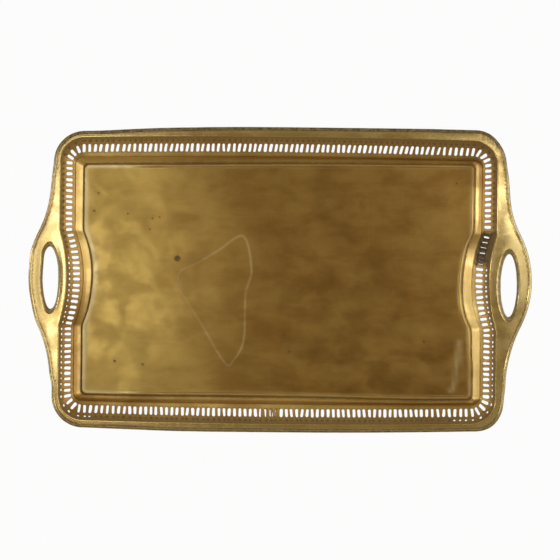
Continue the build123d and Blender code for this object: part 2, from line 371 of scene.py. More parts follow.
def rim_shift(x, y):
    """Shift of the rim's edge, side by side: full shoulders and sunk corners."""
    left = -(1.7 * ramp(y, 12, 34) + 0.8 * hump(y, 112, 22)) * (1 - ramp(y, 122, 148))
    left -= LEFT_SWELL * ramp(-y, 26, 62) * (1 - ramp(-y, 114, 134))
    right = hump(y, 114, 19) - RIGHT_TUCK * ramp(abs(y), 122, 150)
    for size, middle, width in RIGHT_HOLLOWS:
        right -= size * hump(y, middle, width)
    back = RIM_SKEW * x * np.clip(abs(x) / 180, 0, 1)
    back -= CORNER_DROOP * (hump(x, -224, 42) + 2.6 * hump(x, 275, 15))
    front = -0.7 * hump(x, -120, 60) - 2.0 * hump(x, 264, 16)
    return (
        left * np.clip(-x / 250, 0, 1) + right * np.clip(x / 250, 0, 1),
        back * np.clip(y / 150, 0, 1) + front * np.clip(-y / 150, 0, 1),
    )


def hand_set(points, rim_share):
    """Points moved as the uneven hand work moved them.

    rim_share says how far each one goes with the rim rather than with the well.
    """
    x, y, z = points.T
    share = 0.0 if rim_share is None else np.concatenate(rim_share)
    low = 1 - ramp(z, 2.5, 9.5)
    floor_x, floor_y = floor_shift(x, y)
    rim_x, rim_y = rim_shift(x, y)
    gallery_y = WELL_OFFSET_Y * ramp(abs(y), 142, 158) - WELL_BOW * y / 162 * (x / 211) ** 2
    moved = points.copy()
    moved[:, 0] += (WELL_OFFSET_X + low * floor_x) * (1 - share) + rim_x * share
    moved[:, 1] += (gallery_y + low * floor_y) * (1 - share) + rim_y * share
    return moved


# ---- mesh making ------------------------------------------------------------
class Shell:
    """Gathers points, faces and shading masks of one piece, in millimetres."""

    def __init__(self):
        self.points, self.faces, self.masks = [], [], {}
        self.count = 0

    def add(self, points, faces, **masks):
        """Add points and the faces between them; masks hold one value per point."""
        points = np.asarray(points, float).reshape(-1, 3)
        self.points.append(points)
        self.faces.extend([tuple(int(i) + self.count for i in face) for face in faces])
        for name in sorted(set(masks) | set(self.masks)):
            earlier = [np.zeros(self.count)] if self.count else []
            values = np.ravel(masks.get(name, 0.0)).astype(float)
            self.masks.setdefault(name, earlier).append(np.broadcast_to(values, len(points)))
        self.count += len(points)

    def build(self, name):
        """Blender object with smooth shading, split at its sheet edges."""
        points = hand_set(np.concatenate(self.points), self.masks.pop("rim_share", None))
        keys = np.round(points / WELD).astype(np.int64)
        _, first, inverse = np.unique(keys, axis=0, return_index=True, return_inverse=True)
        inverse = inverse.ravel()
        welded = [list(dict.fromkeys(int(inverse[i]) for i in face)) for face in self.faces]
        faces = [face for face in welded if len(face) > 2]
        mesh = bpy.data.meshes.new(name)
        mesh.from_pydata((points[first] * MM).tolist(), [], faces)
        mesh.validate()
        mesh.update()
        mesh.polygons.foreach_set("use_smooth", [True] * len(mesh.polygons))
        mesh.set_sharp_from_angle(angle=math.radians(CREASE))
        for mask, parts in self.masks.items():
            layer = mesh.attributes.new(mask, "FLOAT", "POINT")
            layer.data.foreach_set("value", np.concatenate(parts)[first].astype(np.float32))
        piece = bpy.data.objects.new(name, mesh)
        bpy.context.scene.collection.objects.link(piece)
        return piece


def grid_faces(rows, columns, closed=True):
    """Quads of a grid stored row by row, closed round its columns or open."""
    faces = []
    for row in range(rows - 1):
        for column in range(columns if closed else columns - 1):
            right = (column + 1) % columns
            faces.append((
                row * columns + column,
                row * columns + right,
                (row + 1) * columns + right,
                (row + 1) * columns + column,
            ))
    return faces


def flipped(faces):
    """The same faces, looking the other way."""
    return [face[::-1] for face in faces]


def grid_normals(points, *places):
    """Unit normals of a closed grid of points, facing up on the whole.

    places are the rows' places across the grid, where they are unevenly spaced.
    """
    along = np.roll(points, -1, axis=1) - np.roll(points, 1, axis=1)
    across = np.gradient(points, *places, axis=0)
    normals = np.cross(along, across)
    normals /= np.linalg.norm(normals, axis=-1, keepdims=True) + 1e-12
    return normals * np.sign(normals[:, :, 2].mean())


def per_row(values, columns):
    """Grid that holds one value per row."""
    return np.repeat(values, columns).reshape(-1, columns)


def fill_flat(outer, holes, spots):
    """Triangles between an outer loop and holes, through loose spots, all in plan."""
    points, edges = [], []
    for loop in [outer] + holes:
        start, count = len(points), len(loop)
        points += [Vector(p) for p in loop]
        edges += [(start + i, start + (i + 1) % count) for i in range(count)]
    points += [Vector(p) for p in spots]
    flat, _, triangles, _, _, _ = geometry.delaunay_2d_cdt(points, edges, [], 0, 1e-5)
    flat = np.array([tuple(p) for p in flat])
    triangles = np.array(triangles, int)
    centres = flat[triangles].mean(axis=1)
    keep = inside(centres, outer)
    for hole in holes:
        keep &= ~inside(centres, hole)
    return flat, triangles[keep]


def inside(points, loop):
    """Whether each point lies inside a closed loop."""
    loop = np.asarray(loop, float)
    x, y = points[:, 0], points[:, 1]
    within = np.zeros(len(points), bool)
    for (x0, y0), (x1, y1) in zip(loop, np.roll(loop, -1, axis=0)):
        if y0 == y1:
            continue
        crosses = ((y0 > y) != (y1 > y)) & (x < (x1 - x0) * (y - y0) / (y1 - y0) + x0)
        within ^= crosses
    return within


def add_sheet(shell, front, back, **masks):
    """Add a closed band of sheet metal: front, back, and the two cut edges."""
    rows, columns = front.shape[:2]
    faces = grid_faces(rows, columns)
    shell.add(front, faces, **masks)
    shell.add(back, flipped(faces), **masks)
    cut = grid_faces(2, columns)
    for row, faces in ((0, cut), (rows - 1, flipped(cut))):
        ends = {name: np.tile(value[row], 2) for name, value in masks.items()}
        shell.add(np.stack([back[row], front[row]]), faces, **ends)


# ---- pan --------------------------------------------------------------------
PAN_LEVELS = (PAN_EDGE, LAP_FOOT, GROOVE_OUT, GROOVE_IN, FLOOR_EDGE)
PAN_SOFTNESS = (0, 0.3, 0.22, 0.4, 0)
FLOOR_RUN = 7.0              # from the step's edge to the even floor
CREST_RISE = 0.65            # the step's edge stands a little above the floor
SPOT_SPACING = 4.0           # between the loose points of the floor's mesh

Dent = namedtuple("Dent", "x y width depth")
DENTS = (
    Dent(-122.5, 24.9, 4.4, 0.9),
    Dent(-218.2, 105.0, 1.6, 0.35),
    Dent(-223.2, 83.0, 1.7, 0.35),
    Dent(-182.6, 79.6, 1.4, 0.3),
    Dent(-153.6, 73.6, 1.4, 0.25),
    Dent(-144.8, 75.5, 1.2, 0.25),
    Dent(-156.5, 60.5, 1.2, 0.25),
    Dent(-195.8, -102.4, 1.8, 0.35),
    Dent(-163.1, -105.6, 2.0, 0.3),
    Dent(178.8, -74.4, 1.8, 0.25),
    Dent(15.1, -87.5, 1.8, 0.25),
    Dent(17.0, 134.6, 1.6, 0.2),
)
SCRATCH_WIDTH = 1.2
SCRATCH = (                  # one long scratch that closes on itself
    (-119.6, 7.8), (-96.7, 20.3), (-72.7, 35.2), (-42.6, 52.5), (-32.3, 11.4),
    (-39.2, -19.0), (-40.9, -73.7), (-52.7, -98.1), (-63.6, -101.9), (-95.8, -50.1),
    (-118.1, -14.0),
)
STAIN_WIDTH = 3.0            # pale smear along the floor's right front edge
STAIN = ((221.3, -75.1), (218.0, -106.7), (211.1, -131.0), (196.6, -137.3), (182.0, -138.7))


def smooth_line(corners, closed, spacing):
    """Points about spacing apart on a smooth line through the given corners."""
    corners = np.array(corners, float)
    count = len(corners)
    found = []
    for index in range(count if closed else count - 1):
        around = [index - 1, index, index + 1, index + 2]
        wrapped = [i % count if closed else min(max(i, 0), count - 1) for i in around]
        p0, p1, p2, p3 = corners[wrapped]
        steps = max(2, int(np.linalg.norm(p2 - p1) / spacing))
        for t in np.arange(steps) / steps:
            found.append(0.5 * (
                2 * p1 + (p2 - p0) * t
                + (2 * p0 - 5 * p1 + 4 * p2 - p3) * t ** 2
                + (3 * p1 - p0 - 3 * p2 + p3) * t ** 3
            ))
    if not closed:
        found.append(corners[-1])
    return np.array(found)


def nearest(points, line):
    """Distance from each point in plan to the nearest point of a line."""
    tree = kdtree.KDTree(len(line))
    for index, (x, y) in enumerate(line):
        tree.insert((x, y, 0), index)
    tree.balance()
    return np.array([tree.find((x, y, 0))[2] for x, y in points])


def floor_height(xy):
    """Height of the floor: a slight hollow, hand-made unevenness and dents."""
    x, y = xy[:, 0], xy[:, 1]
    height = np.full(len(xy), float(FLOOR_EDGE.height))
    height += waver(xy, 120.0, FLOOR_SEED, 0.5) + waver(xy, 42.0, HAMMER_SEED, 0.14)
    for dent in DENTS:
        near = np.exp(-((x - dent.x) ** 2 + (y - dent.y) ** 2) / (dent.width / 2) ** 2)
        height -= dent.depth * near
    return height


def floor_spots(loop, scratch):
    """Loose points of the floor's mesh: an even grid, closer at dents and scratch."""
    half_x, half_y = abs(loop[:, 0]).max(), abs(loop[:, 1]).max()
    grid = [
        (x, y)
        for x in np.arange(-half_x, half_x, SPOT_SPACING)
        for y in np.arange(-half_y, half_y, SPOT_SPACING)
    ]
    for dent in DENTS:
        for ring in range(1, 8):
            radius = ring * dent.width / 5
            grid += [
                (dent.x + radius * math.cos(a), dent.y + radius * math.sin(a))
                for a in np.linspace(0, 2 * math.pi, 10 + 2 * ring, endpoint=False)
            ]
    heading = np.roll(scratch, -1, axis=0) - np.roll(scratch, 1, axis=0)
    heading /= np.linalg.norm(heading, axis=1, keepdims=True)
    side = np.column_stack([-heading[:, 1], heading[:, 0]])
    for offset in (-2, -1, -0.5, 0, 0.5, 1, 2):
        grid += [tuple(p) for p in scratch + side * offset * SCRATCH_WIDTH]
    spots = np.array(grid)
    return spots[inside(spots, loop * 0.985)]    # clear of the floor's edge


def make_pan():
    """Pan: the band that backs the gallery, the groove, and the floor."""
    ks = np.concatenate([np.linspace(0, 1, 5)[:-1], np.linspace(1, 4, 34)])
    skin = Skin(PAN_LEVELS, PAN_SOFTNESS, ks)
    distances = np.linspace(0, SLOT_LINE.length, WELL_COLUMNS, endpoint=False)
    front = np.array([skin.at(distances, np.full(WELL_COLUMNS, k))[0] for k in ks])
    edge = front[-1]

    # crest of the step, and the run down to the even floor
    crest_rows = []
    inward = edge[:, :2] - front[-6, :, :2]
    inward /= np.linalg.norm(inward, axis=1, keepdims=True)
    run_shares = np.linspace(0, 1, 13)[1:]
    for share in run_shares:
        xy = edge[:, :2] + inward * FLOOR_RUN * share
        rise = CREST_RISE * (1 - 0.9 * ramp(-xy[:, 0], 150, 200))
        start = edge[:, 2] + rise * math.sin(math.pi * min(1.0, share * 1.15 + 0.2))
        ease = share * share * (3 - 2 * share)
        crest_rows.append(np.column_stack([xy, start * (1 - ease) + floor_height(xy) * ease]))
    front = np.concatenate([front, np.array(crest_rows)])
    back = front - PAN_GAUGE * grid_normals(front)
    back[:, :, 2] = np.maximum(back[:, :, 2], 0.0)

    # marks by the depth down the band: edge and crest are rubbed pale, with a painted
    # highlight along the crest at the left end; the groove is darker
    shell = Shell()
    depth = np.concatenate([ks, 4 + run_shares])
    rubbed = 0.6 * (hump(depth, 4.1, 0.16) + 0.4 * hump(depth, 0.12, 0.1))
    painted_highlight = np.outer(2.2 * hump(depth, 4.35, 0.4), ramp(-front[-1, :, 0], 150, 200))
    masks = {
        "grime": per_row(hump(depth, 2.6, 0.4), WELL_COLUMNS),
        "crest": rubbed[:, None] + painted_highlight,
        "floor": per_row(np.clip(depth - 4, 0, 1), WELL_COLUMNS),
    }
    faces = grid_faces(len(front), WELL_COLUMNS)
    shell.add(front, faces, **masks)
    shell.add(back, flipped(faces), **masks)
    shell.add(np.stack([back[0], front[0]]), grid_faces(2, WELL_COLUMNS), crest=0.6)

    # floor inside the crest
    loop = front[-1, :, :2]
    scratch = smooth_line(SCRATCH, True, 1.6)
    flat, triangles = fill_flat(loop, [], floor_spots(loop, scratch))
    top = floor_height(flat)
    top[:WELL_COLUMNS] = front[-1, :, 2]
    stain = smooth_line(STAIN, False, 2.0)
    shell.add(
        np.column_stack([flat, top]),
        triangles,
        floor=1.0,
        scratch=hump(nearest(flat, scratch), 0, SCRATCH_WIDTH),
        stain=hump(nearest(flat, stain), 0, STAIN_WIDTH),
        grime=pitted(flat),
    )
    under = np.column_stack([flat, top - PAN_GAUGE])
    under[:WELL_COLUMNS] = back[-1]
    shell.add(under, triangles[:, ::-1], floor=1.0)
    return shell.build("pan")


def pitted(flat):
    """Dark rings where the floor's dents have gathered dirt."""
    darkening = np.zeros(len(flat))
    for dent in DENTS:
        away = np.hypot(flat[:, 0] - dent.x, flat[:, 1] - dent.y)
        darkening = np.maximum(darkening, hump(away, dent.width * 0.45, dent.width * 0.4))
    return darkening


# ---- gallery strips ---------------------------------------------------------
STRIP_LEVELS = (LAP_FOOT, PAN_EDGE, SLOT_FOOT, SLOT_TOP, GALLERY_TOP, HEM_EDGE)
STRIP_SOFTNESS = (0, 0.1, 0.12, 0.12, 0.25, 0)
FOOT, TOP = 2, 3             # where the slots' two levels are in that list
DOT_PLACE = 3.45             # between the slot's top level and the gallery's top
CELL_ROWS = np.array((
    0, 0.5, 1, 1.4, 1.8, 2.25, 2.5, 2.75, 3.15, 3.3, 3.6, 3.75, 3.9, 4, 4.15, 4.3, 4.6, 5,
))
CELL_SCALE = 8.0             # sets the levels apart while a cell is cut into triangles


def slot_shape(dice, length, slot_width, lean):
    """Outline of one hand-cut slot, as points across and along, its middle at 0."""
    half = slot_width / 2 * dice.uniform(0.88, 1.1)
    top_half = half * dice.uniform(0.82, 1.08)
    foot_half = half * dice.uniform(0.9, 1.08)
    run = SLOT_SHARE * length / 2 * dice.uniform(0.93, 1.04)
    bend = dice.uniform(-0.25, 0.25)
    found = []
    for end, width in ((1, top_half), (-1, foot_half)):
        for angle in np.linspace(0, math.pi, 9):
            along = run - width * SLOT_ROUNDING * (1 - math.sin(angle))
            found.append((width * math.cos(angle) * end, end * along))
    steps = []
    for (a0, b0), (a1, b1) in zip(found, found[1:] + found[:1]):
        parts = 5 if abs(b1 - b0) > length / 3 else 1
        for i in range(parts):
            steps.append((a0 + (a1 - a0) * i / parts, b0 + (b1 - b0) * i / parts))
    bent = [(a + bend * math.cos(b / run * 1.5), b) for a, b in steps]
    turn, rise = math.cos(lean), math.sin(lean)
    return [(a * turn + b * rise, b * turn - a * rise) for a, b in bent]


def dot_shape(dice, width):
    """Outline of one punched dot, slightly out of round."""
    half = width / 2 * dice.uniform(0.85, 1.12)
    tall = half * dice.uniform(1.0, 1.3)
    return [
        (half * math.cos(a), tall * math.sin(a))
        for a in np.linspace(0, 2 * math.pi, 12, endpoint=False)
    ]


def open_dot(x, y):
    """Whether the dot there is open; the others are closed over and painted dark, as painted
    shade.

    The open ones are those at both ends, from the handles' middle to the front.
    """
    return y < 28 and (x < -224 or x > 213)


def add_strip(shell, skin, start, end, slots, dice):
    """Add a length of pierced strip between two distances round the well."""
    borders = [start] + [(a + b) / 2 for a, b in zip(slots, slots[1:])] + [end]
    for middle, left, right in zip(slots, borders, borders[1:]):
        add_cell(shell, skin, middle, left, right, dice)


def cell_shapes(skin, middle, dice):
    """Slot and dot of one cell, in millimetres across and along the strip.

    Also tells how far along the strip each level lies, how much a step round the
    well is stretched there, and whether the dot is closed over and painted dark as shade.
    """
    levels = np.arange(float(len(STRIP_LEVELS)))
    spine, before, after = (
        skin.at(np.full(len(levels), place), levels)[0]
        for place in (middle, middle - 0.5, middle + 0.5)
    )
    foot, top = spine[FOOT], spine[TOP]
    runs = np.linalg.norm(np.diff(spine, axis=0), axis=1)
    reached = np.concatenate([[0], np.cumsum(runs)])
    stretch = np.linalg.norm(after - before, axis=1)
    on_side = abs(foot[1]) > WELL_WIDTH / 2 - SIDE_DEPTH
    lean = dice.gauss(0.0, SIDE_SWAY if on_side else END_SWAY)
    if on_side and foot[1] > 0:
        lean -= BACK_LEAN
    across = (after[FOOT] - before[FOOT]) / stretch[FOOT]
    lean -= SLOT_SQUARING * float((top - foot) @ across) / runs[FOOT]
    closed_shaded = not open_dot(*top[:2])

    slot_middle = (reached[FOOT] + reached[TOP]) / 2
    width = SLOT_WIDTH_SIDES if on_side else SLOT_WIDTH_ENDS
    slot = slot_shape(dice, reached[TOP] - reached[FOOT], width, lean)
    dot_at = np.interp(DOT_PLACE, levels, reached)
    dot_off = lean * (dot_at - slot_middle) + dice.uniform(-0.3, 0.3)
    dot = dot_shape(dice, DOT_WIDTH if closed_shaded else OPEN_DOT_WIDTH)
    slot = np.array([(a, slot_middle + b) for a, b in slot])
    dot = np.array([(a + dot_off, dot_at + b) for a, b in dot])
    return slot, dot, reached, stretch, closed_shaded


def add_cell(shell, skin, middle, left, right, dice):
    """Add the bit of strip round one slot and its dot."""
    slot, dot, reached, stretch, closed_shaded = cell_shapes(skin, middle, dice)

    # cell in distance round the well and scaled level, cut into triangles
    a_left, a_right = left - middle, right - middle
    holes = []
    for shape in (slot, dot):
        k = np.interp(shape[:, 1], reached, np.arange(len(reached)))
        offset = shape[:, 0] / np.interp(k, np.arange(len(reached)), stretch)
        offset = np.clip(offset, a_left + SLOT_CLEARANCE, a_right - SLOT_CLEARANCE)
        holes.append(np.column_stack([offset, k * CELL_SCALE]))
    rows = CELL_ROWS * CELL_SCALE
    quarters = [a_left + (a_right - a_left) * share for share in (0.25, 0.5, 0.75)]
    outer = [(a_left, row) for row in rows[::-1]] + [(a, 0.0) for a in quarters]
    outer += [(a_right, row) for row in rows] + [(a, rows[-1]) for a in quarters[::-1]]
    spots = np.array([(a, row) for row in rows[1:-1] for a in quarters])
    clear = np.ones(len(spots), bool)
    for hole in holes:
        gap = np.linalg.norm(spots[:, None] - hole[None], axis=2).min(axis=1)
        clear &= (gap > 0.5) & ~inside(spots, hole)
    loose = spots[clear].tolist()
    if closed_shaded:
        loose = holes[1].tolist() + [holes[1].mean(axis=0).tolist()] + loose
    open_holes = holes[:1] if closed_shaded else holes
    flat, triangles = fill_flat(outer, [hole.tolist() for hole in open_holes], loose)

    # the sheet itself, sunk a little at its cuts
    place = flat[:, 1] / CELL_SCALE
    points, normals = skin.at(flat[:, 0] + middle, place)
    slot_start, dot_start = len(outer), len(outer) + len(slot)
    dot_end = dot_start + len(dot)
    points[slot_start:dot_end] -= CUT_DIP * normals[slot_start:dot_end]
    if closed_shaded:
        points[dot_end] -= CLOSED_DOT_DIP * normals[dot_end]
    back = points - STRIP_GAUGE * normals
    grime = strip_grime_and_shade(points, place)
    grime[slot_start:dot_end] += 0.5
    # a closed dot is painted dark: painted shade for the shade seen through the hole
    if closed_shaded:
        grime[dot_start:dot_end + 1] += 0.85
    dull = ramp(place, 2.9, 3.5)
    shell.add(points, triangles, grime=grime, dull=dull)
    shell.add(back, triangles[:, ::-1], grime=grime, dull=dull)
    cuts = [(slot_start, dot_start), (dot_start, dot_end)]
    for begin, finish in cuts[:len(open_holes)]:
        wall = np.stack([points[begin:finish], back[begin:finish]])
        shell.add(wall, grid_faces(2, finish - begin), grime=0.8)
    for level in (0.0, rows[-1]):
        edge = [i for i in range(slot_start) if outer[i][1] == level]
        edge.sort(key=lambda i: outer[i][0])
        wall = np.stack([points[edge], back[edge]])
        shell.add(wall, grid_faces(2, len(edge), closed=False), grime=0.5)


def strip_grime_and_shade(points, place):
    """Dirt and painted shade on the strip: darker at its foot and over its upper band, painted
    shade where it runs under the hem, and thick dirt on the right lap.
    """
    grime = 0.2 * hump(place, 1.3, 0.5) + 0.65 * hump(place, 4.0, 0.35)
    grime += 0.25 * ramp(place, 3.0, 3.6)
    x, y = points[:, 0], points[:, 1]
    on_lap = ramp(x, 195, 205) * ramp(y, 17, 25) * (1 - ramp(y, 58, 65))
    return grime + 0.95 * on_lap * ramp(place, 1.1, 1.5)


def end_cut(shell, skin, distance):
    """Close a strip's cut end."""
    points, normals = skin.at(np.full(len(CELL_ROWS), distance), CELL_ROWS)
    wall = np.stack([points, points - STRIP_GAUGE * normals])
    shell.add(wall, grid_faces(2, len(CELL_ROWS), closed=False), grime=0.6)


def strip_skin(shift):
    """Inner skin of the gallery, set outward and down by shift."""
    return Skin(STRIP_LEVELS, STRIP_SOFTNESS, np.linspace(0, 5, 51), shift, PAN_GAUGE)


def slot_places(start, end, dice):
    """Distances of the slots between two places round the well."""
    steps = np.linspace(start, end, 600)
    xy, _ = SLOT_LINE.at(SLOT_LINE.stations(steps))
    at_end = ramp(abs(xy[:, 0]), END_START, END_FULL)
    turns = np.cumsum(1 / (SLOT_PITCH + (END_PITCH - SLOT_PITCH) * at_end))
    count = max(1, int(round((end - start) * turns[-1] / len(steps))))
    middles = np.interp((np.arange(count) + 0.5) / count, turns / turns[-1], steps)
    return [middle + dice.uniform(-0.3, 0.3) for middle in middles]


def joint_distances():
    """Where the long strip begins and ends round the well."""
    middle = half_way(SLOT_TOP, SLOT_FOOT)
    half_x = WELL_LENGTH / 2 - middle.in_x
    half_y = WELL_WIDTH / 2 - middle.in_y
    right = PUSH_REACH + JOINT_Y
    front = SLOT_LINE.length - (
        half_x - middle.corner - JOINT_X
        + middle.corner * math.pi / 2
        + half_y - middle.corner - PUSH_REACH
    )
    return right, front


def make_gallery():
    """The two lengths of pierced strip that make the gallery."""
    right, front = joint_distances()
    face = strip_skin(0.0)
    behind = strip_skin(STRIP_GAUGE)
    dice = random.Random(CUTTING_SEED)

    long_shell = Shell()
    add_strip(long_shell, face, right, front, slot_places(right, front, dice), dice)
    for place in (right, front):
        end_cut(long_shell, face, place)
    long_strip = long_shell.build("gallery_long")

    short_shell = Shell()
    begin, finish = front + JOINT_GAP, SLOT_LINE.length + right - JOINT_GAP
    add_strip(short_shell, face, begin, finish, slot_places(begin, finish, dice), dice)
    for place in (begin, finish):
        end_cut(short_shell, face, place)
    laps = ((front - LAP_FRONT, begin), (finish, SLOT_LINE.length + right + LAP_RIGHT))
    for tail, far in laps:
        places = slot_places(tail + LAP_SLOT_OFFSET, far + LAP_SLOT_OFFSET, dice)
        places = [p for p in places if tail + LAP_END < p < far - LAP_END]
        add_strip(short_shell, behind, tail, far, places, dice)
        for place in (tail, far):
            end_cut(short_shell, behind, place)
    short_strip = short_shell.build("gallery_short")
    return long_strip, short_strip


# ---- rim --------------------------------------------------------------------
def spaced(line, spacing):
    """Points about spacing apart along an outline."""
    count = int(line.length / spacing)
    return line.at(line.stations(np.linspace(0, line.length, count, endpoint=False)))[0]


RIM_LINE = spaced(rim_outline(BEAD_RADIUS), 1.2)
HEM_LINE = spaced(well_outline(HEM_EDGE), 1.2)


def hole_ring(side, grow):
    """Outline of a hand hole, widened all round by grow."""
    angles = np.linspace(0, 2 * math.pi, HOLE_COLUMNS, endpoint=False)
    trim, sag = (HOLE_TRIM, HOLE_SAG) if side > 0 else (0, 0)
    return np.column_stack([
        side * HOLE_X + ((HOLE_WIDTH - trim) / 2 + ROLL_AT_SIDES * grow) * np.cos(angles),
        (HOLE_LENGTH / 2 + ROLL_AT_ENDS * grow) * np.sin(angles) - sag,
    ])


def add_lip(shell, side):
    """Turned-down edge of one hand hole, from the flange to its lower lip.

    Returns its upper outline in plan and the underside's upper row.
    """
    depth = np.linspace(0, 1, 12)
    front = []
    for index, share in enumerate(depth):
        ring = hole_ring(side, HOLE_ROLL * (1 - share))
        sway = waver(ring, 9.0, LIP_SEEDS[side], 0.25 * index / len(depth))
        outward = ring - ring.mean(axis=0)
        ring = ring + outward / np.linalg.norm(outward, axis=1, keepdims=True) * sway[:, None]
        height = BEAD_HEIGHT - LIP_DEPTH * (0.35 * share + 0.65 * share ** 2)
        front.append(np.column_stack([ring, np.full(HOLE_COLUMNS, height)]))
    front = np.array(front)
    back = front - RIM_GAUGE * grid_normals(front)
    # the turned-down lip is painted dark from just below the flange: painted shade
    grime = per_row(0.74 * ramp(depth, 0.02, 0.14), HOLE_COLUMNS)
    share = rim_share_at(front[:, :, :2])
    faces = grid_faces(len(depth), HOLE_COLUMNS)
    shell.add(front, flipped(faces), grime=grime, rim_share=share)
    shell.add(back, faces, grime=grime, rim_share=share)
    edge = np.stack([front[-1], back[-1]])
    edge_share = np.stack([share[-1], share[-1]])
    shell.add(edge, grid_faces(2, HOLE_COLUMNS), grime=1.0, rim_share=edge_share)
    return front[0, :, :2], back[0]


def rim_share(to_rim, to_hem):
    """Part of the rim's own shift that a place takes, by its distances to rim and hem."""
    return ramp(to_hem / np.maximum(to_rim + to_hem, 1e-6), 0, 0.4)


def rim_share_at(xy):
    """How far places in plan go with the rim, from 0 at the hem to 1 at the edge."""
    flat = np.asarray(xy, float).reshape(-1, 2)
    to_rim = nearest(flat, RIM_LINE)
    to_hem = nearest(flat, HEM_LINE)
    return rim_share(to_rim, to_hem).reshape(np.shape(xy)[:-1])


def flange_height(to_rim, to_hem, to_hole):
    """Height of the flange: slightly crowned, and level at its lines."""
    across = to_rim + to_hem
    crown = FLANGE_CROWN * np.sin(math.pi * np.clip(to_rim / np.maximum(across, 1e-6), 0, 1))
    height = FLANGE_HEIGHT + crown * np.clip((across - 7.0) / 14.0, 0.15, 1.0)
    ease = np.clip(to_hole / 4.0, 0, 1)
    return BEAD_HEIGHT * (1 - ease) + height * ease


def add_hem(shell):
    """Inner edge of the rim, rounded down over the gallery's top.

    Returns the outer rows of its face and of its underside.
    """
    ks = np.concatenate([np.linspace(0, 0.4, 7), [0.55, 0.75, 1.0]])
    skin = Skin((GALLERY_TOP, HEM_EDGE), (0, 0), ks)
    distances = np.linspace(0, SLOT_LINE.length, WELL_COLUMNS, endpoint=False)
    front = np.array([skin.at(distances, np.full(WELL_COLUMNS, k))[0] for k in ks])
    fall = np.clip(1 - ks / 0.4, 0, 1) ** 2
    front[:, :, 2] = FLANGE_HEIGHT - (FLANGE_HEIGHT - front[0, :, 2])[None, :] * fall[:, None]
    back = front - RIM_GAUGE * grid_normals(front)
    # painted shade along the hem's edge where it rounds down over the gallery
    grime = per_row(hump(ks, 0, 0.25), WELL_COLUMNS)
    faces = grid_faces(len(ks), WELL_COLUMNS)
    shell.add(front, flipped(faces), grime=grime * 0.6)
    shell.add(back, faces, grime=grime)
    edge = np.stack([front[0], back[0]])
    shell.add(edge, grid_faces(2, WELL_COLUMNS), grime=0.9)
    return front[-1], back[-1]


def make_rim():
    """Rim: rounded hem, flange, turned hand holes, and the edge rolled round a wire."""
    shell = Shell()
    hem, hem_back = add_hem(shell)
    lips = [add_lip(shell, side) for side in (-1, 1)]

    # flat of the flange, its outer columns spaced as on a line just inside the wire
    inner = rim_outline(BEAD_RADIUS + 0.2)
    places = np.linspace(0, inner.length, RIM_COLUMNS, endpoint=False)
    rim_loop, _ = rim_outline(BEAD_RADIUS).at(inner.stations(places))
    hem_loop = hem[:, :2]
    hole_loops = [lip[0] for lip in lips]
    spots = flange_spots(rim_loop, hem_loop, hole_loops)
    flat, triangles = fill_flat(rim_loop, [hem_loop] + hole_loops, spots)
    to_rim, to_hem, *to_holes = (
        nearest(flat, line) for line in [rim_loop, hem_loop] + hole_loops
    )
    hem_part = slice(RIM_COLUMNS, RIM_COLUMNS + WELL_COLUMNS)
    height = flange_height(to_rim, to_hem, np.minimum(*to_holes))
    height[hem_part] = hem[:, 2]
    tarnish = 0.3 * ramp(abs(flat[:, 1]), 158, 166) * (0.3 + ramp(-flat[:, 0], 40, 170))
    # painted shade in the crease where the rolled edge meets the flange, plus tarnish
    grime = 0.6 * hump(to_rim, 2.1, 0.8) + tarnish
    share = rim_share(to_rim, to_hem)
    top = np.column_stack([flat, height])
    shell.add(top, triangles, grime=grime, rim_share=share)
    under = top - (0, 0, RIM_GAUGE)
    under[hem_part] = hem_back
    for index, (_, lip_back) in enumerate(lips):
        place = hem_part.stop + index * HOLE_COLUMNS
        under[place:place + HOLE_COLUMNS] = lip_back
    shell.add(under, triangles[:, ::-1], grime=grime, rim_share=share)
    edge = np.column_stack([rim_loop, height[:RIM_COLUMNS]])
    wall = np.stack([edge, edge - (0, 0, RIM_GAUGE)])
    shell.add(wall, grid_faces(2, RIM_COLUMNS), grime=1.0, rim_share=1.0)

    add_rolled_edge(shell)
    return shell.build("rim")


def flange_spots(rim_loop, hem_loop, hole_loops):
    """Loose points that give the flange's triangles an even size."""
    xs = np.arange(-TRAY_LENGTH / 2, TRAY_LENGTH / 2, FLANGE_SPACING)
    ys = np.arange(-TRAY_WIDTH / 2, TRAY_WIDTH / 2, FLANGE_SPACING)
    grid = np.array([
        (x + FLANGE_SPACING / 2 * (row % 2), y) for row, y in enumerate(ys) for x in xs
    ])
    well = np.array([WELL_LENGTH / 2 - 20, WELL_WIDTH / 2 - 6])
    grid = grid[(np.abs(grid) > well).any(axis=1)]
    grid = grid[inside(grid, rim_loop) & ~inside(grid, hem_loop)]
    for loop in [rim_loop, hem_loop] + hole_loops:
        grid = grid[nearest(grid, loop) > 0.9]
    for loop in hole_loops:
        grid = grid[~inside(grid, loop)]
    return grid


def along_rim(places):
    """Points of the wire's middle line at distances along it, and the way outward."""
    line = rim_outline(BEAD_RADIUS)
    centre, heading = line.at(line.stations(places))
    return centre, np.column_stack([np.sin(heading), -np.cos(heading)])


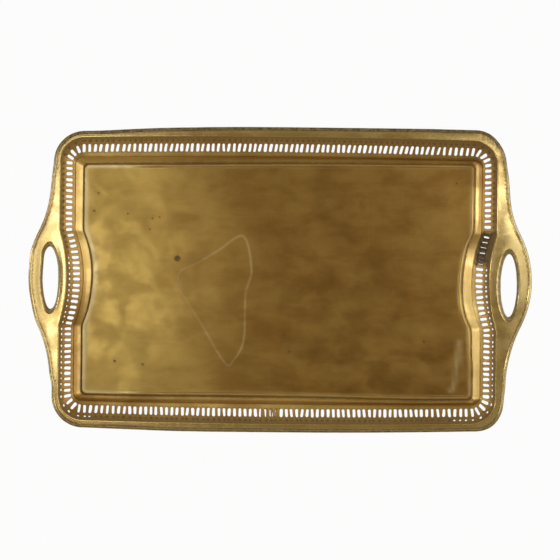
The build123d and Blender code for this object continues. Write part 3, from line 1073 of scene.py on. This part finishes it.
def add_rolled_edge(shell):
    """The sheet's edge, curled round the wire and closed down on the flange."""
    length = rim_outline(BEAD_RADIUS).length
    centre, outward = along_rim(np.linspace(0, length, RIM_COLUMNS, endpoint=False))
    sway = np.maximum(waver(centre, 30.0, BEAD_SEED, 0.16), 0)
    turns = np.concatenate([np.linspace(-160, 150, 25), [158, 166, 174, 181, 187]])
    front, back = [], []
    for angle in np.radians(turns):
        for radius, rows in ((BEAD_RADIUS - KEEP_IN, front), (BORE_RADIUS, back)):
            across = radius * math.cos(angle) - sway * max(math.cos(angle), 0)
            height = BEAD_HEIGHT + radius * math.sin(angle)
            xy = centre + outward * across[:, None]
            rows.append(np.column_stack([xy, np.full(RIM_COLUMNS, height)]))
    front, back = np.array(front), np.array(back)

    # painted shade where the curl meets the flange, round its outside and on its underside;
    # less of it at the handles, and the back side is painted darkest
    at_end = ramp(abs(centre[:, 0]), 255, 280)
    darkening = 0.8 * hump(turns, 174, 34) + hump(turns, 18, 50) + 0.6 * hump(turns, -90, 50)
    overall = 0.62 + 0.22 * ramp(centre[:, 1], 60, 150) - 0.4 * at_end
    grime = np.outer(np.clip(darkening, 0, 1), 1.1 - 0.5 * at_end) + overall
    add_sheet(
        shell,
        front,
        back,
        grime=np.clip(grime, 0, 1),
        # pale band along the bead's top: wear and painted highlight
        crest=per_row(hump(turns, 100, 22), RIM_COLUMNS),
        rim_share=np.ones(grime.shape),
    )


def make_wire():
    """Steel wire inside the rolled edge, its two ends a small gap apart."""
    shell = Shell()
    length = rim_outline(BEAD_RADIUS).length
    places = np.linspace(WIRE_GAP / 2, length - WIRE_GAP / 2, WIRE_COLUMNS)
    centre, outward = along_rim(places)
    rows = []
    for angle in np.linspace(0, 2 * math.pi, WIRE_SIDES, endpoint=False):
        across = outward * WIRE_RADIUS * math.cos(angle)
        height = np.full(WIRE_COLUMNS, BEAD_HEIGHT + WIRE_RADIUS * math.sin(angle))
        rows.append(np.column_stack([centre + across, height]))
    rings = np.array(rows).transpose(1, 0, 2)
    shell.add(rings, grid_faces(WIRE_COLUMNS, WIRE_SIDES), rim_share=1.0)
    fan = [(i, (i + 1) % WIRE_SIDES, WIRE_SIDES) for i in range(WIRE_SIDES)]
    for ring in (rings[0], rings[-1]):
        shell.add(np.vstack([ring, ring.mean(axis=0)]), fan, rim_share=1.0)
    return shell.build("wire")


# ---- shader node groups -----------------------------------------------------
def new_group(name, inputs, outputs):
    """Empty node group with the given sockets, and its two end nodes."""
    group = bpy.data.node_groups.new(name, "ShaderNodeTree")
    kinds = {
        "value": "NodeSocketFloat",
        "colour": "NodeSocketColor",
        "vector": "NodeSocketVector",
    }
    for label, kind, default in inputs:
        socket = group.interface.new_socket(label, in_out="INPUT", socket_type=kinds[kind])
        if default is not None:
            socket.default_value = default
    for label, kind in outputs:
        group.interface.new_socket(label, in_out="OUTPUT", socket_type=kinds[kind])
    return group, group.nodes.new("NodeGroupInput"), group.nodes.new("NodeGroupOutput")


def add_noise(tree, where, scale, detail=4.0, roughness=0.55, distortion=0.0):
    """Noise texture node read at where; returns its value."""
    node = tree.nodes.new("ShaderNodeTexNoise")
    tree.links.new(where, node.inputs["Vector"])
    if isinstance(scale, (int, float)):
        node.inputs["Scale"].default_value = scale
    else:
        tree.links.new(scale, node.inputs["Scale"])
    node.inputs["Detail"].default_value = detail
    node.inputs["Roughness"].default_value = roughness
    node.inputs["Distortion"].default_value = distortion
    return node.outputs["Fac"]


def put(tree, socket, value):
    """Link a socket to another, or set its value."""
    if isinstance(value, bpy.types.NodeSocket):
        tree.links.new(value, socket)
    else:
        socket.default_value = value


def maths(tree, operation, *values, clamp=False):
    """Math node over sockets or numbers; returns its value."""
    node = tree.nodes.new("ShaderNodeMath")
    node.operation = operation
    node.use_clamp = clamp
    for socket, value in zip(node.inputs, values):
        put(tree, socket, value)
    return node.outputs[0]


def spread(tree, value, low, high, to_low=0.0, to_high=1.0):
    """Map a value's range onto another, held at its ends."""
    node = tree.nodes.new("ShaderNodeMapRange")
    node.interpolation_type = "SMOOTHSTEP"
    put(tree, node.inputs["Value"], value)
    ends = {"From Min": low, "From Max": high, "To Min": to_low, "To Max": to_high}
    for name, number in ends.items():
        put(tree, node.inputs[name], number)
    return node.outputs["Result"]


def mix(tree, factor, one, other, blend="MIX"):
    """Mix two colours by a factor."""
    node = tree.nodes.new("ShaderNodeMix")
    node.data_type = "RGBA"
    node.blend_type = blend
    put(tree, node.inputs[0], factor)
    put(tree, node.inputs[6], one)
    put(tree, node.inputs[7], other)
    return node.outputs[2]


def times(tree, one, other, clamp=False):
    """One value times another."""
    return maths(tree, "MULTIPLY", one, other, clamp=clamp)


def plus(tree, one, other, clamp=False):
    """One value plus another."""
    return maths(tree, "ADD", one, other, clamp=clamp)


def streaked(tree, where, turn, stretch):
    """Coordinates turned about Z and stretched by three factors."""
    node = tree.nodes.new("ShaderNodeMapping")
    node.inputs["Rotation"].default_value = (0, 0, turn)
    node.inputs["Scale"].default_value = stretch
    tree.links.new(where, node.inputs["Vector"])
    return node.outputs["Vector"]


def make_tarnish_group():
    """Cloudy tarnish: broad clouds, soft blotches and a fine mottle."""
    group, start, end = new_group(
        "cloudy_tarnish",
        [
            ("Position", "vector", None),
            ("Cloud Scale", "value", 6.0),
            ("Blotch Scale", "value", 28.0),
        ],
        [("Clouds", "value"), ("Blotches", "value"), ("Mottle", "value")],
    )
    where = start.outputs["Position"]
    clouds = add_noise(group, where, start.outputs["Cloud Scale"], 3.0, 0.5, 0.6)
    blotches = add_noise(group, where, start.outputs["Blotch Scale"], 4.0, 0.6, 0.3)
    mottle = add_noise(group, where, 260.0, 3.0, 0.6)
    put(group, end.inputs["Clouds"], spread(group, clouds, 0.3, 0.7))
    put(group, end.inputs["Blotches"], spread(group, blotches, 0.32, 0.68))
    put(group, end.inputs["Mottle"], mottle)
    return group


def make_scratch_group():
    """Fine scratches of use: three crossed sets of long thin strokes."""
    group, start, end = new_group(
        "fine_scratches",
        [("Position", "vector", None), ("Strength", "value", 1.0)],
        [("Height", "value"), ("Mask", "value")],
    )
    where = start.outputs["Position"]
    strokes = []
    for turn, stretch in ((0.5, (30, 900, 30)), (-0.9, (800, 24, 30)), (0.1, (16, 1300, 30))):
        stroke = add_noise(group, streaked(group, where, turn, stretch), 1.0, 2.0, 0.5)
        strokes.append(spread(group, stroke, 0.6, 0.74))
    total = plus(group, plus(group, strokes[0], strokes[1]), strokes[2], clamp=True)
    mask = times(group, total, start.outputs["Strength"])
    put(group, end.inputs["Mask"], mask)
    put(group, end.inputs["Height"], times(group, mask, -1.0))
    return group


def make_pitting_group():
    """Small dark pits, sparse and of mixed size."""
    group, start, end = new_group(
        "pitting",
        [("Position", "vector", None), ("Amount", "value", 0.5)],
        [("Height", "value"), ("Mask", "value")],
    )
    where = start.outputs["Position"]
    cells = group.nodes.new("ShaderNodeTexVoronoi")
    cells.inputs["Scale"].default_value = 150.0
    group.links.new(where, cells.inputs["Vector"])
    chance = add_noise(group, where, 55.0, 2.0, 0.5)
    limit = times(group, start.outputs["Amount"], 0.42)
    size = times(group, spread(group, chance, 0.55, 0.8), limit)
    size = plus(group, size, 0.0001)
    near = maths(group, "DIVIDE", cells.outputs["Distance"], size)
    mask = spread(group, near, 0.7, 1.05, 1.0, 0.0)
    put(group, end.inputs["Mask"], mask)
    put(group, end.inputs["Height"], times(group, mask, -1.0))
    return group


TARNISH = make_tarnish_group()
SCRATCHES = make_scratch_group()
PITTING = make_pitting_group()


def place_group(tree, group, where, **values):
    """Place a node group in a material, reading at where."""
    node = tree.nodes.new("ShaderNodeGroup")
    node.node_tree = group
    tree.links.new(where, node.inputs["Position"])
    for label, value in values.items():
        put(tree, node.inputs[label.replace("_", " ")], value)
    return node.outputs


def mask_of(tree, name):
    """Value of a mask stored on the mesh."""
    node = tree.nodes.new("ShaderNodeAttribute")
    node.attribute_name = name
    return node.outputs["Fac"]


def chart_colour(red, green, blue):
    """Linear colour from the 0 to 255 numbers of a colour chart."""
    def linear(value):
        share = value / 255
        return share / 12.92 if share <= 0.04045 else ((share + 0.055) / 1.055) ** 2.4
    return (linear(red), linear(green), linear(blue), 1.0)


BRIGHT_GOLD = chart_colour(224, 203, 142)
RIM_GOLD = chart_colour(214, 190, 130)
GOLD = chart_colour(218, 194, 132)
OLIVE = chart_colour(198, 170, 106)
BROWN = chart_colour(166, 134, 80)
# dark brown of dirt, also used for painted shade
DIRT_AND_SHADE = chart_colour(58, 42, 24)
PALE = chart_colour(236, 218, 168)
FLOOR_BROWN = chart_colour(150, 115, 60)
FLOOR_OLIVE = chart_colour(176, 145, 82)
DUST = chart_colour(146, 122, 76)
FLOOR_GOLD = chart_colour(214, 188, 112)
STEEL = chart_colour(138, 134, 128)
DARK_STEEL = chart_colour(92, 84, 76)
ROOM_LIGHT = (1.0, 0.8, 0.46, 1)
TABLE_BOUNCE = (0.2, 0.17, 0.12, 1)    # what the white table throws back on the tray


def start_material(name):
    """Material with a metal shader, its tree, and the place on the object."""
    material = bpy.data.materials.new(name)
    material.use_nodes = True
    tree = material.node_tree
    shader = tree.nodes["Principled BSDF"]
    shader.inputs["Metallic"].default_value = 1.0
    where = tree.nodes.new("ShaderNodeTexCoord").outputs["Object"]
    return material, tree, shader, where


MOTTLE_TINT = 0.14
LINE_SHINE = 0.12            # how bright fine scratches are
CREST_SHINE = 0.3            # and how bright rubbed crests and painted highlights are
PIT_DIRT = 0.75
GRIME_AND_SHADE_DARKNESS = 0.93            # how far thick dirt and painted shade hide the brass's colour
GRIME_AND_SHADE_COVER = 0.85           # and how far they hide its metal
BUMP_DEPTH = 0.0002


def brass_material(name, tones, roughness, pits, scratches, floor=False):
    """Old brass: three tones clouded into each other, dirt and painted shade in creases, worn
    crests with painted highlights.
    """
    dark, base, light = tones
    material, tree, shader, where = start_material(name)
    tarnish = place_group(tree, TARNISH, where)
    colour = mix(tree, tarnish["Clouds"], dark, base)
    colour = mix(tree, times(tree, tarnish["Blotches"], 0.45), colour, light)
    mottle = times(tree, spread(tree, tarnish["Mottle"], 0.35, 0.7), MOTTLE_TINT)
    colour = mix(tree, mottle, colour, dark)
    rough = spread(tree, tarnish["Blotches"], 0.0, 1.0, roughness + 0.06, roughness - 0.05)
    if floor:
        colour, rough = floor_patina(tree, where, colour, rough)
    lines = place_group(tree, SCRATCHES, where, Strength=scratches)
    colour = mix(tree, times(tree, lines["Mask"], LINE_SHINE), colour, PALE)
    spots = place_group(tree, PITTING, where, Amount=pits)
    colour = mix(tree, times(tree, spots["Mask"], PIT_DIRT), colour, DIRT_AND_SHADE)
    crest = times(tree, mask_of(tree, "crest"), CREST_SHINE)
    colour = mix(tree, crest, colour, PALE)
    broken = spread(tree, tarnish["Mottle"], 0.25, 0.75, 0.6, 1.1)
    # the grime mask holds real dirt, and painted shade in creases, under the hem and the rolled
    # edge, and on the hand holes' lips
    grime = times(tree, mask_of(tree, "grime"), broken, clamp=True)
    colour = mix(tree, times(tree, grime, GRIME_AND_SHADE_DARKNESS), colour, DIRT_AND_SHADE)
    rough = plus(tree, rough, times(tree, grime, 0.18))
    dust = spread(tree, tarnish["Mottle"], 0.3, 0.7, 0.3, 0.65)
    dull = times(tree, mask_of(tree, "dull"), dust)
    colour = mix(tree, dull, colour, DUST)
    covered = maths(tree, "MAXIMUM", dull, times(tree, grime, GRIME_AND_SHADE_COVER))
    put(tree, shader.inputs["Metallic"], maths(tree, "SUBTRACT", 1.0, covered))
    put(tree, shader.inputs["Base Color"], colour)
    put(tree, shader.inputs["Roughness"], plus(tree, rough, times(tree, dull, 0.25)))
    height = times(tree, lines["Height"], 0.15)
    height = plus(tree, height, times(tree, spots["Height"], 1.2))
    height = plus(tree, height, times(tree, tarnish["Mottle"], 0.25))
    bump = tree.nodes.new("ShaderNodeBump")
    bump.inputs["Strength"].default_value = 0.35
    bump.inputs["Distance"].default_value = BUMP_DEPTH
    put(tree, bump.inputs["Height"], height)
    put(tree, shader.inputs["Normal"], bump.outputs["Normal"])
    return material


def floor_patina(tree, where, colour, rough):
    """The floor's own patina: yellower to the left, browner to the back and right."""
    axes = tree.nodes.new("ShaderNodeSeparateXYZ")
    tree.links.new(where, axes.inputs[0])
    across = plus(tree, axes.outputs["X"], times(tree, add_noise(tree, where, 9.0, 3.0), 0.16))
    streaks = streaked(tree, where, 0.5, (14, 30, 30))
    smears = spread(tree, add_noise(tree, streaks, 1.0, 5.0, 0.6, 0.3), 0.3, 0.7)
    tone = mix(tree, smears, FLOOR_BROWN, FLOOR_OLIVE)
    left = spread(tree, across, 0.08, -0.14)
    tone = mix(tree, times(tree, left, spread(tree, smears, 0, 1, 0.7, 1.0)), tone, FLOOR_GOLD)
    tone = mix(tree, 0.3, tone, colour, "MULTIPLY")
    colour = mix(tree, mask_of(tree, "floor"), colour, tone)
    colour = mix(tree, times(tree, mask_of(tree, "stain"), 0.35), colour, PALE)
    worn = times(tree, mask_of(tree, "scratch"), spread(tree, smears, 0, 1, 0.16, 0.34))
    colour = mix(tree, worn, colour, PALE)
    rough = plus(tree, rough, times(tree, mask_of(tree, "scratch"), 0.12))
    return colour, rough


def steel_material():
    """Drawn steel wire inside the rolled edge, browned with age."""
    material, tree, shader, where = start_material("wire_steel")
    tarnish = place_group(tree, TARNISH, where)
    colour = mix(tree, tarnish["Blotches"], DARK_STEEL, STEEL)
    put(tree, shader.inputs["Base Color"], colour)
    rough = spread(tree, tarnish["Mottle"], 0.2, 0.8, 0.35, 0.55)
    put(tree, shader.inputs["Roughness"], rough)
    return material


# ---- surroundings, in metres ----------------------------------------------------
TABLE_REACH = 12.0
TABLE_RINGS = 24
TABLE_SIDES = 48
TABLE_GAP = 0.0002           # a hair below the tray's underside
LAMP_HEIGHT = 1.35           # of the lamps that hang straight above


def add_softbox(name, location, aim, size, power):
    """Square soft lamp turned towards a point."""
    lamp = bpy.data.lights.new(name, "AREA")
    lamp.shape = "RECTANGLE"
    lamp.size, lamp.size_y = size
    lamp.energy = power
    holder = bpy.data.objects.new(name, lamp)
    bpy.context.scene.collection.objects.link(holder)
    holder.location = location
    way = Vector(aim) - Vector(location)
    holder.rotation_euler = way.to_track_quat("-Z", "Y").to_euler()


def make_table():
    """Wide white table top that the tray stands on."""
    points, faces = [(0.0, 0.0, 0.0)], []
    for ring in range(1, TABLE_RINGS + 1):
        radius = TABLE_REACH * (ring / TABLE_RINGS) ** 2
        points += [
            (radius * math.cos(a), radius * math.sin(a), 0.0)
            for a in np.linspace(0, 2 * math.pi, TABLE_SIDES, endpoint=False)
        ]
    for side in range(TABLE_SIDES):
        following = (side + 1) % TABLE_SIDES
        faces.append((0, 1 + side, 1 + following))
        for ring in range(TABLE_RINGS - 1):
            a, b = 1 + ring * TABLE_SIDES, 1 + (ring + 1) * TABLE_SIDES
            faces.append((a + side, b + side, b + following, a + following))
    mesh = bpy.data.meshes.new("table_top")
    mesh.from_pydata(points, [], faces)
    table = bpy.data.objects.new("table_top", mesh)
    bpy.context.scene.collection.objects.link(table)
    table.location.z = -TABLE_GAP
    material = bpy.data.materials.new("white_table")
    material.use_nodes = True
    tree = material.node_tree
    tree.nodes.clear()
    paint = tree.nodes.new("ShaderNodeBsdfDiffuse")
    paint.inputs["Color"].default_value = TABLE_BOUNCE
    glow = tree.nodes.new("ShaderNodeEmission")
    glow.inputs["Strength"].default_value = 1.0
    rays = tree.nodes.new("ShaderNodeLightPath")
    seen = rays.outputs["Is Camera Ray"]
    for kind in ("Is Transmission Ray", "Is Glossy Ray"):
        seen = maths(tree, "MAXIMUM", seen, rays.outputs[kind])
    share = times(tree, seen, 0.97)
    blend = tree.nodes.new("ShaderNodeMixShader")
    tree.links.new(share, blend.inputs[0])
    tree.links.new(paint.outputs[0], blend.inputs[1])
    tree.links.new(glow.outputs[0], blend.inputs[2])
    out = tree.nodes.new("ShaderNodeOutputMaterial")
    tree.links.new(blend.outputs[0], out.inputs[0])
    mesh.materials.append(material)


def make_room():
    """Warm light of the room, brighter towards the right wall than overhead."""
    world = bpy.data.worlds.new("studio")
    world.use_nodes = True
    tree = world.node_tree
    axes = tree.nodes.new("ShaderNodeSeparateXYZ")
    tree.links.new(tree.nodes.new("ShaderNodeTexCoord").outputs["Generated"], axes.inputs[0])
    walls = spread(tree, axes.outputs["X"], -0.9, 0.9, 0.24, 0.46)
    endways = spread(tree, maths(tree, "ABSOLUTE", axes.outputs["Y"]), 0.3, 0.9)
    endways = times(tree, endways, 0.16)
    walls = plus(tree, walls, endways)
    upward = spread(tree, axes.outputs["Z"], 0.15, 0.85)
    overhead = times(tree, maths(tree, "SUBTRACT", 0.25, walls), upward)
    put(tree, tree.nodes["Background"].inputs["Strength"], plus(tree, walls, overhead))
    tree.nodes["Background"].inputs["Color"].default_value = ROOM_LIGHT
    bpy.context.scene.world = world


VIEW_WIDTH = 0.6784          # what the camera spans at the rim's height
VIEW_CENTRE = (-0.0002, -0.0003)
CAMERA_ROLL = 0.6            # degrees by which the tray lies askew
LENS = 240.0
SENSOR = 36.0


def make_camera():
    """Long lens straight above the tray."""
    data = bpy.data.cameras.new("camera")
    data.lens = LENS
    data.sensor_width = SENSOR
    camera = bpy.data.objects.new("camera", data)
    bpy.context.scene.collection.objects.link(camera)
    distance = VIEW_WIDTH * LENS / SENSOR
    camera.location = (*VIEW_CENTRE, BEAD_HEIGHT * MM + distance)
    camera.rotation_euler = (0, 0, math.radians(CAMERA_ROLL))
    data.clip_end = 100.0
    bpy.context.scene.camera = camera


# ---- put together -----------------------------------------------------------
make_camera()
make_room()
make_table()
for name, x, y, size, power in (
    ("overhead_left", -0.31, 0.005, (0.20, 0.29), 0.58),
    ("overhead_far_left", -0.71, 0.005, (0.60, 0.29), 0.30),
    ("overhead_right", 0.58, 0.155, (0.60, 0.09), 0.54),
    ("overhead_handle", 0.46, 0.03, (0.14, 0.14), 0.05),
):
    add_softbox(name, (x, y, LAMP_HEIGHT), (x, y, 0), size, power)
add_softbox("low_right", (0.95, 0.12, 0.70), (0, 0.12, 0.05), (0.68, 1.2), 6.0)
add_softbox("low_left", (-0.92, 0.135, 0.45), (0, 0.135, 0.1), (0.14, 0.60), 2.1)
add_softbox("low_left_front", (-0.92, -0.36, 0.45), (0, -0.1, 0.1), (0.26, 0.60), 1.8)
add_softbox("low_front", (-0.50, -0.90, 0.45), (-0.2, 0, 0.1), (0.60, 0.30), 0.6)
add_softbox("low_back", (-0.30, 0.95, 0.45), (-0.2, 0, 0.1), (0.60, 0.30), 0.6)

pan = make_pan()
long_strip, short_strip = make_gallery()
rim = make_rim()
wire = make_wire()
pan_brass = brass_material(
    "pan_brass", (BROWN, OLIVE, GOLD), roughness=0.34, pits=0.4, scratches=0.35, floor=True
)
strip_brass = brass_material(
    "strip_brass", (BROWN, OLIVE, GOLD), roughness=0.34, pits=0.6, scratches=0.3
)
rim_brass = brass_material(
    "rim_brass", (OLIVE, RIM_GOLD, BRIGHT_GOLD), roughness=0.17, pits=0.12, scratches=0.16
)
wire_steel = steel_material()

for piece, node, finish, material in (
    (pan, "base_pan", "pan_brass", pan_brass),
    (long_strip, "gallery_strip_long", "strip_brass", strip_brass),
    (short_strip, "gallery_strip_short", "strip_brass", strip_brass),
    (rim, "rim_flange", "rim_brass", rim_brass),
    (wire, "rim_wire", "wire_steel", wire_steel),
):
    piece.data.materials.append(material)
    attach(piece, "root")
    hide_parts(node)

bpy.context.scene.view_settings.view_transform = "Standard"
